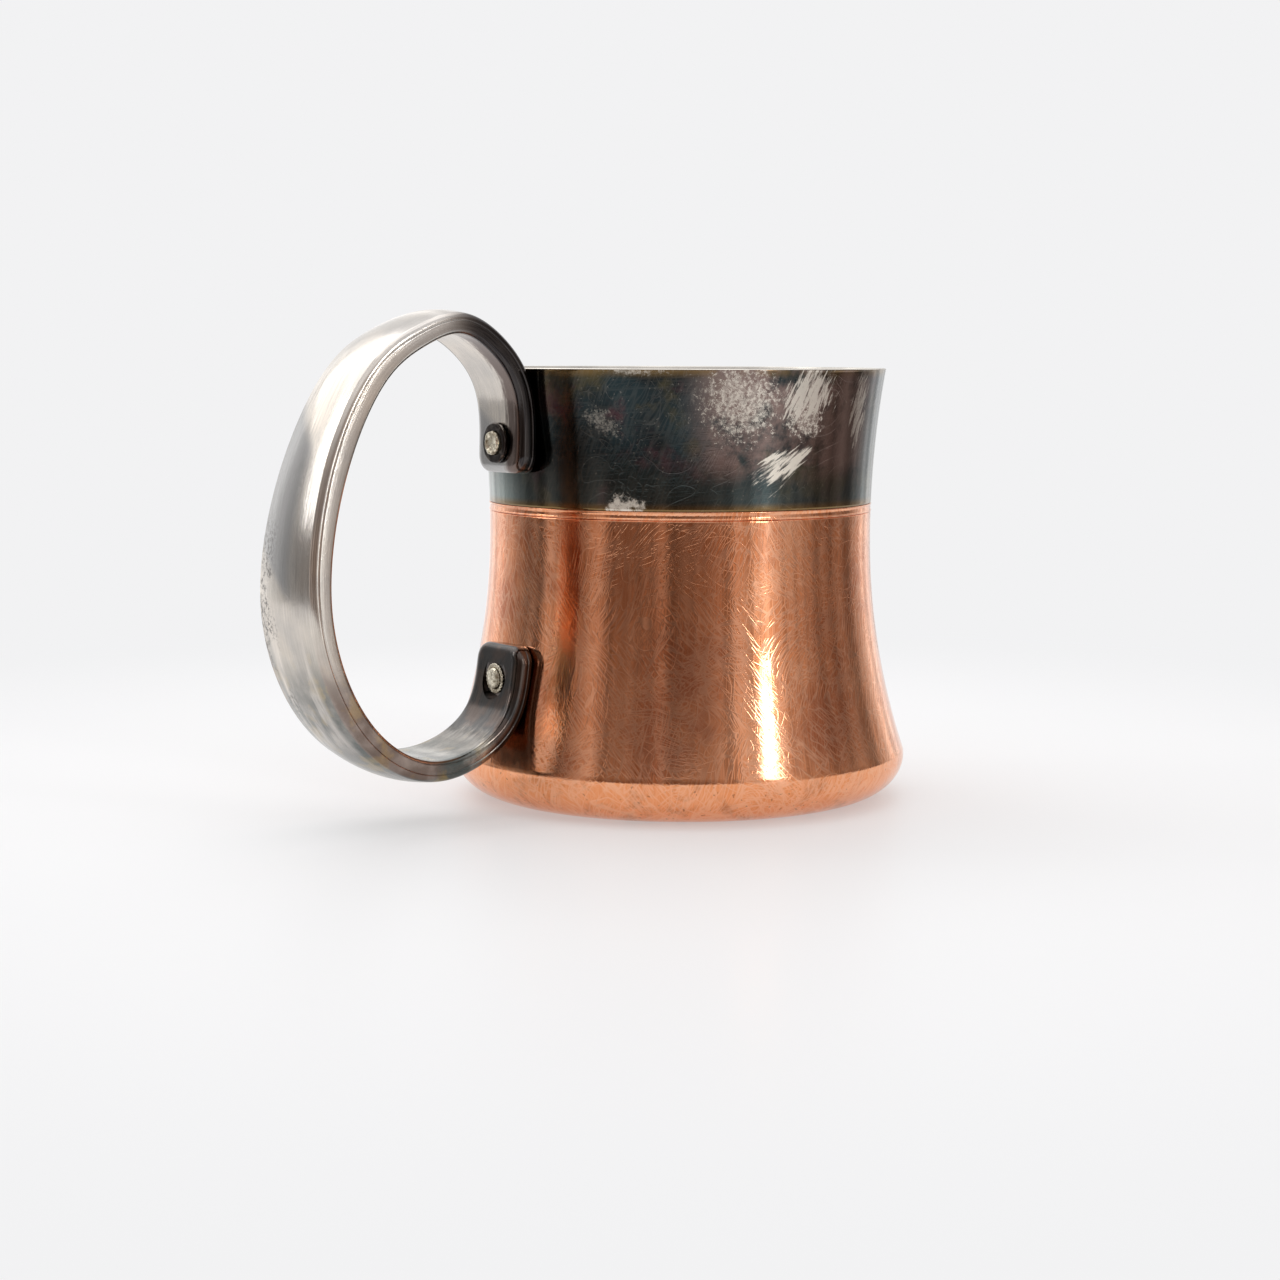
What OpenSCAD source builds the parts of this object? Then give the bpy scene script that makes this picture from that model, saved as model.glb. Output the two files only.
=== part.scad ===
// Double-walled copper mug with a silver-plated cup, riveted strap handle and plain foot.
// +Z is up, the foot rests on z = 0 and the handle points along +X. Millimetres.

/* [Body] */

// Height of the rim above the table
mug_height = 83.6; // [83:0.1:85]
// Outside radius of the body at its waist
waist_radius = 37.3; // [37:0.1:38]
// Height of the waist, the narrowest level
waist_height = 52; // [51:0.5:53]
// Radius of the long curve that flares the body below the waist
skirt_sweep = 134; // [130:1:140]
// Radius of the long curve that flares the body above the waist
mouth_sweep = 187; // [180:1:200]
// Outside radius of the flat ring that touches the table
foot_ring_radius = 34.2; // [33.5:0.1:35]
// Height of the rounded foot
foot_height = 8.3; // [8:0.1:8.6]
// Wall of the spun copper jacket
jacket_wall = 1.1; // [1:0.05:1.2]

/* [Cup] */

// Wall of the silver-plated cup
cup_wall = 1.2; // [1.1:0.05:1.3]
// Height of the joint between copper and silver
joint_height = 57.6; // [57:0.1:58]
// Outside height of the cup floor
cup_floor_height = 9; // [8.5:0.5:10]
// Outside corner radius at the cup floor
cup_corner = 7; // [6:0.5:8]

/* [Handle] */

// Half of the strap's width where it is riveted
strap_end_half_width = 7.7; // [7.4:0.1:8]
// Half of the strap's width at the widest part of the grip
strap_grip_half_width = 11.2; // [10.5:0.1:11.5]
// Rise of the domed outer face at the grip
strap_crown = 0.9; // [0.7:0.1:1]
// Corner radius of the strap's two ends
strap_end_radius = 3.5; // [3:0.5:4]

/* [Rivets] */

// Height of the upper rivet
upper_rivet_height = 69.6; // [69:0.1:70]
// Height of the lower rivet
lower_rivet_height = 25.4; // [25:0.1:26]
// Radius of both rivet shanks
rivet_radius = 2; // [1.9:0.05:2.1]

/* [Hidden] */

$fn = 96;
COPPER = [0.78, 0.46, 0.32];
SILVER = [0.62, 0.62, 0.60];
BRASS = [0.75, 0.68, 0.48];
SOLDER = [0.60, 0.60, 0.58];

// Gap left between pieces that are pressed or soldered together
seat = 0.03;
// Gap between a rivet shank and its holes
hole_fit = 0.05;
// Small overshoot that keeps cuts clean
over = 1;

// Joint ring: a narrow copper moulding between jacket and band
ring_height = 1.6;
ring_bevel = 0.25;
ring_bottom = joint_height - ring_height;

// Foot and base
foot_land = 4.2;
foot_land_inner = foot_ring_radius - foot_land;
foot_steps = 12;
base_thickness = 1;
base_edge_gap = 0.4;
solder_leg = 1.4;

// Cup
cup_lower_radius = 35.8;
cup_floor_radius = 34.6;
joggle_height = 2.4;
rim_round = 0.35;
wall_steps = 20;
band_steps = 14;

// Rivets and washers
head_radius = 3.2;
head_rise = 1.2;
outer_washer_radius = 3.8;
outer_washer_thickness = 0.8;
inner_washer_radius = 4.4;
inner_washer_thickness = 0.9;
rope_washer_radius = 2.95;
rope_washer_thickness = 0.4;
spot_radius = 3.9;
peen_flare = 0.25;
peen_rise = 0.6;
dish_depth = 0.15;
dome_rise = 0.5;

// Strap guide points as [out from the axis, height, share of the widening, thickness]
strap_guides = [
  [40.4, 64, 0, 4.1],
  [39.5, 80, 0, 4],
  [46.5, 88.5, 0.05, 3.9],
  [54.5, 93, 0.1, 3.9],
  [63, 89.5, 0.15, 4],
  [71, 85, 0.15, 4.5],
  [78, 74, 0.2, 4.8],
  [83.5, 59, 0.5, 4.5],
  [86, 41.5, 0.85, 4.1],
  [82, 26, 1, 3.9],
  [74, 15, 0.9, 4],
  [63, 9.5, 0.55, 4],
  [52, 11, 0.15, 3.8],
  [41.8, 18, 0, 3.7],
  [40.6, 31.8, 0, 3.7]
];
strap_start = strap_guides[0];
strap_finish = strap_guides[len(strap_guides) - 1];
strap_steps = 8;
end_steps = 14;
edge_bevel = 0.9;
grip_bevel = 0.8;
tip_bevel = 2;
tip_bevel_depth = 1.3;
tip_share = 0.18;
crown_from = 32;
crown_to = 74;
seat_face_upper = strap_start[0] + strap_start[3] / 2;
seat_face_lower = 42.8;
// Heights between which each end of the strap is filed to the wall
upper_core = [61, 84.6];
lower_core = [17, 35];
strap_fit = 0.08;
washer_fit = 0.12;

// ---------- profile functions ----------

function arc_rise(radius, d) = radius - sqrt(radius * radius - d * d);
function sweep_at(z) = z < waist_height ? skirt_sweep : mouth_sweep;
function body_radius(z) = waist_radius + arc_rise(sweep_at(z), abs(z - waist_height));

foot_radius = body_radius(foot_height + 0.8) + 0.05;

// Rounded foot, a quarter ellipse drawn in by the given amount
function foot_curve(inset) = [
  for (i = [0 : foot_steps])
    let (a = 90 * i / foot_steps)
    [foot_ring_radius + (foot_radius - foot_ring_radius - inset) * sin(a),
     foot_height - (foot_height - inset) * cos(a)]
];

// Swept wall from one height to another, drawn in by the given amount
function wall_curve(z0, z1, inset, steps) = [
  for (i = [0 : steps])
    let (z = z0 + (z1 - z0) * i / steps)
    [body_radius(z) - inset, z]
];

function reversed(list) = [for (i = [len(list) - 1 : -1 : 0]) list[i]];

// ---------- strap functions ----------

function spline_weight(t) = [
  pow(1 - t, 3),
  3 * pow(t, 3) - 6 * pow(t, 2) + 4,
  -3 * pow(t, 3) + 3 * pow(t, 2) + 3 * t + 1,
  pow(t, 3)
] / 6;
function spline_slope(t) = [
  -pow(1 - t, 2),
  3 * pow(t, 2) - 4 * t,
  -3 * pow(t, 2) + 2 * t + 1,
  pow(t, 2)
] / 2;

guide_count = len(strap_guides);
span_count = guide_count - 1;
first_ghost = 2 * strap_guides[0] - strap_guides[1];
last_ghost = 2 * strap_guides[guide_count - 1] - strap_guides[guide_count - 2];
guides = concat([first_ghost], strap_guides, [last_ghost]);

function blend(span, w) =
  w[0] * guides[span] + w[1] * guides[span + 1] + w[2] * guides[span + 2] + w[3] * guides[span + 3];

// Stations as [span, position], closer together at the two rounded ends
stations = concat(
  [for (k = [0 : end_steps - 1]) [0, pow(k / end_steps, 2)]],
  [for (s = [1 : span_count - 2]) for (k = [0 : strap_steps - 1]) [s, k / strap_steps]],
  [for (k = [0 : end_steps]) [span_count - 1, 1 - pow(1 - k / end_steps, 2)]]
);

function smooth(x) = let (c = min(max(x, 0), 1)) c * c * (3 - 2 * c);
function near_end(d) = d < strap_end_radius
  ? strap_end_radius - sqrt(pow(strap_end_radius, 2) - pow(strap_end_radius - d, 2))
  : 0;
function half_width(p, d) = strap_end_half_width
  + (strap_grip_half_width - strap_end_half_width) * p[2] - near_end(d);
function tip_blend(share) = max(0, 1 - min(share, 1 - share) / tip_share);

// Cross-section as [across, outward] for one station
function section(p, d, share) =
  let (w = half_width(p, d))
  let (h = p[3] / 2)
  let (bevel = grip_bevel + (tip_bevel - grip_bevel) * tip_blend(share))
  let (depth = grip_bevel + (tip_bevel_depth - grip_bevel) * tip_blend(share))
  let (inner = -h + 0.9 * depth * max(0, 1 - d / bevel))
  let (crown = strap_crown * smooth((p[0] - crown_from) / (crown_to - crown_from)))
  let (flat = w - edge_bevel)
  concat(
    [[-w + bevel, inner], [-w, depth - h], [-w, h - edge_bevel], [-flat, h]],
    [for (i = [1 : 5]) let (x = -1 + i / 3) [flat * x, h + crown * (1 - x * x)]],
    [[flat, h], [w, h - edge_bevel], [w, depth - h], [w - bevel, inner]]
  );

function away(p, q) = norm([p[0] - q[0], p[1] - q[1]]);
function ring_at(i) =
  let (s = stations[i])
  let (p = blend(s[0], spline_weight(s[1])))
  let (t = blend(s[0], spline_slope(s[1])))
  let (n = [-t[1], t[0]] / norm([t[0], t[1]]))
  let (d = min(away(p, strap_start), away(p, strap_finish)))
  [for (q = section(p, d, i / len(stations))) [p[0] + q[1] * n[0], q[0], p[1] + q[1] * n[1]]];

// ---------- helpers ----------

// A turned shape laid along +X at the given height
module along_x(height) {
  translate([0, 0, height]) rotate([0, 90, 0]) children();
}

// Everything inside the wall between two heights, used to fit pieces against it
module wall_core(z0, z1, inset, steps) {
  rotate_extrude()
    polygon(concat([[0, z0]], wall_curve(z0, z1, inset, steps), [[0, z1]]));
}

module rivet_hole(height) {
  along_x(height) cylinder(r = rivet_radius + hole_fit, h = 60);
}

// ---------- nodes ----------

module copper_jacket() {
  color(COPPER)
    difference() {
      rotate_extrude()
        polygon(concat(
          [[foot_land_inner, 0]],
          foot_curve(0),
          wall_curve(foot_height + 1, ring_bottom - seat, 0, wall_steps),
          wall_curve(ring_bottom - seat, foot_height + 1, jacket_wall, wall_steps),
          reversed(foot_curve(jacket_wall)),
          [[foot_land_inner, jacket_wall]]
        ));
      rivet_hole(lower_rivet_height);
    }
}

module joint_ring() {
  inner = cup_lower_radius + seat;
  outer = waist_radius + 0.15;
  top = joint_height - seat;
  color(COPPER)
    rotate_extrude()
      polygon([
        [inner, ring_bottom],
        [outer - ring_bevel, ring_bottom],
        [outer, ring_bottom + ring_bevel],
        [outer, top - ring_bevel],
        [outer - ring_bevel, top],
        [inner, top]
      ]);
}

module joint_solder() {
  height = 5;
  color(SOLDER)
    translate([0, 0, ring_bottom - seat - height])
      difference() {
        cylinder(r = waist_radius - jacket_wall - seat, h = height);
        translate([0, 0, -over])
          cylinder(r = cup_lower_radius + seat, h = height + 2 * over);
      }
}

module silver_cup() {
  shoulder = joint_height;
  outer_corner = [
    for (i = [0 : 6])
      let (a = 90 * i / 6)
      [cup_floor_radius - cup_corner * (1 - sin(a)), cup_floor_height + cup_corner * (1 - cos(a))]
  ];
  inner_corner = [
    for (i = [6 : -1 : 0])
      let (a = 90 * i / 6)
      [cup_floor_radius - cup_corner + (cup_corner - cup_wall) * sin(a),
       cup_floor_height + cup_corner - (cup_corner - cup_wall) * cos(a)]
  ];
  color(SILVER)
    difference() {
      rotate_extrude()
        polygon(concat(
          [[0, cup_floor_height]],
          outer_corner,
          [[cup_lower_radius, ring_bottom - 6], [cup_lower_radius, shoulder]],
          wall_curve(shoulder, mug_height - rim_round, 0, band_steps),
          [[body_radius(mug_height) - rim_round, mug_height]],
          [[body_radius(mug_height) - cup_wall + rim_round, mug_height]],
          wall_curve(mug_height - rim_round, shoulder + joggle_height, cup_wall, band_steps),
          [[cup_lower_radius - cup_wall, shoulder], [cup_lower_radius - cup_wall, ring_bottom - 6]],
          inner_corner,
          [[0, cup_floor_height + cup_wall]]
        ));
      rivet_hole(upper_rivet_height);
    }
}

module base_disc() {
  color(COPPER)
    translate([0, 0, jacket_wall + seat])
      cylinder(r = foot_ring_radius + base_edge_gap, h = base_thickness);
}

module base_solder() {
  bottom = jacket_wall + base_thickness + 2 * seat;
  color(SOLDER)
    rotate_extrude()
      polygon([
        [foot_ring_radius - solder_leg, bottom],
        [foot_ring_radius + base_edge_gap, bottom],
        [foot_ring_radius + base_edge_gap, bottom + solder_leg / 2]
      ]);
}

module handle_strap() {
  rings = [for (i = [0 : len(stations) - 1]) ring_at(i)];
  size = len(rings[0]);
  last = (len(rings) - 1) * size;
  skin = [
    for (i = [0 : len(rings) - 2])
      for (j = [0 : size - 1])
        let (a = i * size + j)
        let (b = i * size + (j + 1) % size)
        each [[a, b, b + size], [a, b + size, a + size]]
  ];
  start_cap = [for (j = [1 : size - 2]) [0, j + 1, j]];
  end_cap = [for (j = [1 : size - 2]) [last, last + j, last + j + 1]];
  color(SILVER)
    difference() {
      polyhedron(
        points = [for (ring = rings) each ring],
        faces = concat(skin, start_cap, end_cap)
      );
      wall_core(upper_core[0], upper_core[1], -strap_fit, 3);
      wall_core(lower_core[0], lower_core[1], -strap_fit, 2);
      rivet_hole(upper_rivet_height);
      rivet_hole(lower_rivet_height);
      along_x(lower_rivet_height)
        translate([0, 0, seat_face_lower]) cylinder(r = spot_radius, h = 6);
    }
}

module upper_rivet() {
  wall = body_radius(upper_rivet_height) - cup_wall;
  start = wall - inner_washer_thickness - head_rise;
  front = seat_face_upper + outer_washer_thickness + 2 * seat;
  color(BRASS)
    along_x(upper_rivet_height)
      rotate_extrude()
        polygon([
          [0, start],
          [head_radius * 0.6, start],
          [head_radius, start + head_rise * 0.7],
          [head_radius, start + head_rise - seat],
          [rivet_radius, start + head_rise - seat],
          [rivet_radius, front],
          [rivet_radius + peen_flare, front],
          [rivet_radius + peen_flare, front + peen_rise - 0.2],
          [rivet_radius, front + peen_rise],
          [rivet_radius * 0.7, front + peen_rise],
          [0, front + peen_rise - dish_depth]
        ]);
}

module upper_outer_washer() {
  color(SILVER)
    along_x(upper_rivet_height)
      translate([0, 0, seat_face_upper + seat])
        difference() {
          union() {
            cylinder(r = outer_washer_radius, h = outer_washer_thickness - 0.25);
            translate([0, 0, outer_washer_thickness - 0.25])
              cylinder(r1 = outer_washer_radius, r2 = outer_washer_radius - 0.4, h = 0.25);
          }
          translate([0, 0, -over]) cylinder(r = rivet_radius + hole_fit, h = 4);
        }
}

// Washer bent to the inside of a wall that lies at the given inset
module bent_washer(height, inset) {
  wall = body_radius(height) - inset;
  low = height - inner_washer_radius - over;
  high = height + inner_washer_radius + over;
  r_low = body_radius(low) - inset - washer_fit;
  r_high = body_radius(high) - inset - washer_fit;
  difference() {
    intersection() {
      along_x(height)
        translate([0, 0, wall - inner_washer_thickness])
          cylinder(r = inner_washer_radius, h = inner_washer_thickness + 2);
      translate([0, 0, low])
        cylinder(r1 = r_low, r2 = r_high, h = high - low, $fn = 240);
    }
    rivet_hole(height);
  }
}

module upper_inner_washer() {
  color(SILVER) bent_washer(upper_rivet_height, cup_wall);
}

module lower_rivet() {
  wall = body_radius(lower_rivet_height) - jacket_wall;
  start = wall - inner_washer_thickness - head_rise;
  front = seat_face_lower + rope_washer_thickness + 2 * seat;
  color(BRASS)
    along_x(lower_rivet_height)
      rotate_extrude()
        polygon([
          [0, start],
          [head_radius * 0.6, start],
          [head_radius, start + head_rise * 0.7],
          [head_radius, start + head_rise - seat],
          [rivet_radius, start + head_rise - seat],
          [rivet_radius, front],
          [rivet_radius + peen_flare, front],
          [rivet_radius + peen_flare, front + 0.2],
          [rivet_radius * 0.7, front + dome_rise - 0.1],
          [0, front + dome_rise]
        ]);
}

module lower_rope_washer() {
  color(BRASS)
    along_x(lower_rivet_height)
      translate([0, 0, seat_face_lower + seat])
        difference() {
          cylinder(r = rope_washer_radius, h = rope_washer_thickness);
          translate([0, 0, -over]) cylinder(r = rivet_radius + hole_fit, h = 4);
        }
}

module lower_inner_washer() {
  color(SILVER) bent_washer(lower_rivet_height, jacket_wall);
}

copper_jacket();
joint_ring();
joint_solder();
silver_cup();
base_disc();
base_solder();
handle_strap();
upper_rivet();
upper_outer_washer();
upper_inner_washer();
lower_rivet();
lower_rope_washer();
lower_inner_washer();
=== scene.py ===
"""Copper mug with a silver-plated cup: visual pieces, finishes, light and camera, in metres."""

from __future__ import annotations

import logging
import math
from dataclasses import dataclass
from enum import Enum
from typing import Sequence

import bpy
from mathutils import Matrix, Vector, noise


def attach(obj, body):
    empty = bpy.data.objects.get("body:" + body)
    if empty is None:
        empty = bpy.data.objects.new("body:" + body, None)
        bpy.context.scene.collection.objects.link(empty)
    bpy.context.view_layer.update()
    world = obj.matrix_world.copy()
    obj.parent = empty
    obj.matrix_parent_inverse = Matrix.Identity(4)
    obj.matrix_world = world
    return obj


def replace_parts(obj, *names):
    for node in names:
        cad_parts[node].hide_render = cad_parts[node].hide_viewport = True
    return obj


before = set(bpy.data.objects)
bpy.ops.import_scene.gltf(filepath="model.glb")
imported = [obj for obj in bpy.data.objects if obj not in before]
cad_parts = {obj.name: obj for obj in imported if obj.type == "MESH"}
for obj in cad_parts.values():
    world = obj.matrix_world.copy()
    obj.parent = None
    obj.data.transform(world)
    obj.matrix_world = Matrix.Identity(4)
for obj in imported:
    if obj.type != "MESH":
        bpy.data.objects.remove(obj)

LOG = logging.getLogger("copper_mug")
MM = 0.001
# Outline points nearer to the axis than this, in millimetres, count as on it.
ON_AXIS = 0.001
BODY = "root"

Point = tuple[float, float]


# ---------------------------------------------------------------- colour and nodes


def linear(hex_code: str) -> tuple[float, float, float, float]:
    """Turn an sRGB hex colour into linear RGBA.

    Args:
        hex_code: colour such as "#E89C74".

    Returns:
        Linear red, green, blue and an alpha of 1.
    """
    channels = [int(hex_code[i : i + 2], 16) / 255 for i in (1, 3, 5)]
    curve = [c / 12.92 if c <= 0.04045 else ((c + 0.055) / 1.055) ** 2.4 for c in channels]
    return curve[0], curve[1], curve[2], 1.0


def add(
    tree: bpy.types.NodeTree, kind: str, inputs: dict | None = None, **settings: object
) -> bpy.types.Node:
    """Add a node with its settings and links.

    Args:
        tree: node tree that receives the node.
        kind: node type without the "ShaderNode" prefix.
        inputs: socket name or index mapped to a value, or to an output socket to link.
        settings: node properties such as operation or blend_type.

    Returns:
        The new node.
    """
    node = tree.nodes.new("ShaderNode" + kind)
    for name, value in settings.items():
        setattr(node, name, value)
    for key, value in (inputs or {}).items():
        if isinstance(value, bpy.types.NodeSocket):
            tree.links.new(value, node.inputs[key])
        else:
            node.inputs[key].default_value = value
    return node


class Patina:
    """One material under construction, with the patterns that all the finishes share."""

    def __init__(self, name: str) -> None:
        """Start a material with an object-space coordinate.

        Args:
            name: the finish's name.
        """
        self.material = bpy.data.materials.new(name)
        self.material.use_nodes = True
        self.tree = self.material.node_tree
        self.tree.nodes.clear()
        self.point = add(self.tree, "TexCoord").outputs["Object"]
        axes = add(self.tree, "SeparateXYZ", {0: self.point}).outputs
        self.x, self.y, self.z = axes[0], axes[1], axes[2]

    def folded(self, operation: str, values: Sequence[object]) -> object:
        """Take one operation over any number of masks or numbers, pair by pair.

        Args:
            operation: name of the operation.
            values: sockets or numbers.

        Returns:
            The result socket, or the value itself when there is only one.
        """
        result = values[0]
        for value in values[1:]:
            result = add(self.tree, "Math", {0: result, 1: value}, operation=operation).outputs[0]
        return result

    def times(self, *values: object) -> bpy.types.NodeSocket:
        """Multiply any number of values."""
        return self.folded("MULTIPLY", values)

    def plus(self, *values: object) -> bpy.types.NodeSocket:
        """Add any number of values."""
        return self.folded("ADD", values)

    def most(self, *masks: object) -> bpy.types.NodeSocket:
        """Return the largest of any number of masks."""
        return self.folded("MAXIMUM", masks)

    def less(self, mask: object) -> bpy.types.NodeSocket:
        """Turn a mask inside out."""
        return add(self.tree, "Math", {0: 1.0, 1: mask}, operation="SUBTRACT").outputs[0]

    def unsigned(self, value: object) -> bpy.types.NodeSocket:
        """Drop a value's sign."""
        return add(self.tree, "Math", {0: value}, operation="ABSOLUTE").outputs[0]

    def between(self, value: object, start: float, end: float) -> bpy.types.NodeSocket:
        """Rise smoothly from 0 to 1 as a value goes from start to end."""
        return add(self.tree, "MapRange", {"Value": value, "From Min": start, "From Max": end},
                   interpolation_type="SMOOTHSTEP").outputs[0]

    def blend(self, share: object, under: object, over: object) -> bpy.types.NodeSocket:
        """Lay one colour over another.

        Args:
            share: how much of the upper colour shows.
            under: lower colour, a hex code or socket.
            over: upper colour, a hex code or socket.

        Returns:
            The mixed colour.
        """
        pair = [linear(c) if isinstance(c, str) else c for c in (under, over)]
        node = add(self.tree, "Mix", {"Factor": share, 6: pair[0], 7: pair[1]}, data_type="RGBA")
        return node.outputs[2]

    def bearing(self) -> bpy.types.NodeSocket:
        """Return the angle from the handle, up to half a turn either way, in radians."""
        return add(self.tree, "Math", {0: self.y, 1: self.x}, operation="ARCTAN2").outputs[0]

    def turn(self) -> bpy.types.NodeSocket:
        """Return the angle round the axis from the handle, 0 to a full turn in radians."""
        return add(self.tree, "Math", {0: self.bearing(), 1: 2 * math.pi},
                   operation="FLOORED_MODULO").outputs[0]

    def unrolled(self, radius_mm: float) -> bpy.types.NodeSocket:
        """Lay the wall out flat: x runs round it and y up it, with the seam behind the handle."""
        arc_length = self.times(self.turn(), radius_mm * MM)
        return add(self.tree, "CombineXYZ", {0: arc_length, 1: self.z}).outputs[0]

    def ringed(self, radius_mm: float) -> bpy.types.NodeSocket:
        """Lay a turned face out so that x runs round the axis and y outwards and upwards.

        Args:
            radius_mm: the face's typical radius.

        Returns:
            The flat coordinate in metres; lines drawn along x are the lathe's rings.
        """
        arc_length = self.times(self.turn(), radius_mm * MM)
        spoke = add(self.tree, "CombineXYZ", {0: self.x, 1: self.y}).outputs[0]
        outward = add(self.tree, "VectorMath", {0: spoke}, operation="LENGTH").outputs["Value"]
        upward = self.plus(outward, self.z)
        return add(self.tree, "CombineXYZ", {0: arc_length, 1: upward}).outputs[0]

    def bent(self, vector: object, size_mm: float, shift_mm: float) -> bpy.types.NodeSocket:
        """Warp a coordinate so that lines drawn along it curve like hand strokes.

        Args:
            vector: the coordinate.
            size_mm: size of the bends.
            shift_mm: how far a place moves.

        Returns:
            The warped coordinate.
        """
        field = add(self.tree, "TexNoise", {"Vector": vector, "Scale": 1 / (size_mm * MM),
                                            "Detail": 0.0}).outputs["Color"]
        centred = add(self.tree, "VectorMath", {0: field, 1: (0.5, 0.5, 0.5)},
                      operation="SUBTRACT").outputs[0]
        shift = add(self.tree, "VectorMath", {0: centred, "Scale": 2 * shift_mm * MM},
                    operation="SCALE").outputs[0]
        return add(self.tree, "VectorMath", {0: vector, 1: shift}, operation="ADD").outputs[0]

    def field(
        self, size_mm: tuple[float, float, float], seed: float, detail: float = 3.0,
        roughness: float = 0.55, vector: object = None, heading: float = 0.0,
    ) -> bpy.types.NodeSocket:
        """Noise with its own size along each axis.

        Args:
            size_mm: size of its features along x, y and z.
            seed: offset that gives another pattern.
            detail: octaves of finer breakup.
            roughness: strength of the finer octaves.
            vector: coordinate to use instead of the object's own.
            heading: degrees to turn the pattern in the xy plane.

        Returns:
            Noise from 0 to 1.
        """
        base = self.point if vector is None else vector
        if heading:
            base = add(self.tree, "VectorRotate", {"Vector": base, "Angle": math.radians(-heading)},
                       rotation_type="Z_AXIS").outputs[0]
        scale = tuple(1 / (size * MM) for size in size_mm)
        scaled = add(self.tree, "VectorMath", {0: base, 1: scale}, operation="MULTIPLY").outputs[0]
        moved = add(self.tree, "VectorMath", {0: scaled, 1: (seed, 1.7 * seed, 0.6 * seed)},
                    operation="ADD").outputs[0]
        return add(self.tree, "TexNoise", {"Vector": moved, "Scale": 1.0, "Detail": detail,
                                           "Roughness": roughness}).outputs[0]

    def blotches(
        self, size_mm: float, low: float, high: float, seed: float, detail: float = 4.0,
        roughness: float = 0.55,
    ) -> bpy.types.NodeSocket:
        """Return soft-edged patches of one size, drawn where a noise goes from low to high."""
        return self.between(self.field((size_mm,) * 3, seed, detail, roughness), low, high)

    def hairlines(
        self, flat: object, heading: float, gap_mm: float, length_mm: float, width: float,
        seed: float,
    ) -> bpy.types.NodeSocket:
        """Fine separate scratches, drawn where a stretched noise passes its middle level.

        Args:
            flat: flat coordinate that they lie in.
            heading: their direction in degrees from the coordinate's x.
            gap_mm: typical gap between two of them.
            length_mm: typical length.
            width: share of the noise range that counts as a scratch.
            seed: offset that gives another set.

        Returns:
            Mask, 1 in the middle of each scratch.
        """
        noise_level = self.field((length_mm, gap_mm, 1.0), seed, 1.0, 0.5, flat, heading)
        away = self.unsigned(self.plus(noise_level, -0.5))
        return self.between(away, width, 0.0)

    def relief(self, layers: Sequence[tuple[object, float]]) -> bpy.types.NodeSocket:
        """Stack height layers into one surface normal.

        Args:
            layers: each mask with the depth in millimetres that it stands for.

        Returns:
            The bumped normal.
        """
        normal = None
        for height, depth_mm in layers:
            inputs = {"Height": height, "Strength": 1.0, "Distance": depth_mm * MM}
            if normal is not None:
                inputs["Normal"] = normal
            normal = add(self.tree, "Bump", inputs).outputs[0]
        return normal

    def metal(
        self, colour: object, roughness: object, normal: bpy.types.NodeSocket,
    ) -> bpy.types.Material:
        """Finish the material as bare metal.

        Args:
            colour: base colour socket.
            roughness: roughness socket or number.
            normal: bumped normal.

        Returns:
            The finished material.
        """
        shader = add(self.tree, "BsdfPrincipled", {"Base Color": colour, "Roughness": roughness,
                                                   "Metallic": 1.0, "Normal": normal})
        add(self.tree, "OutputMaterial", {0: shader.outputs[0]})
        return self.material


# ---------------------------------------------------------------- finishes


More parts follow.
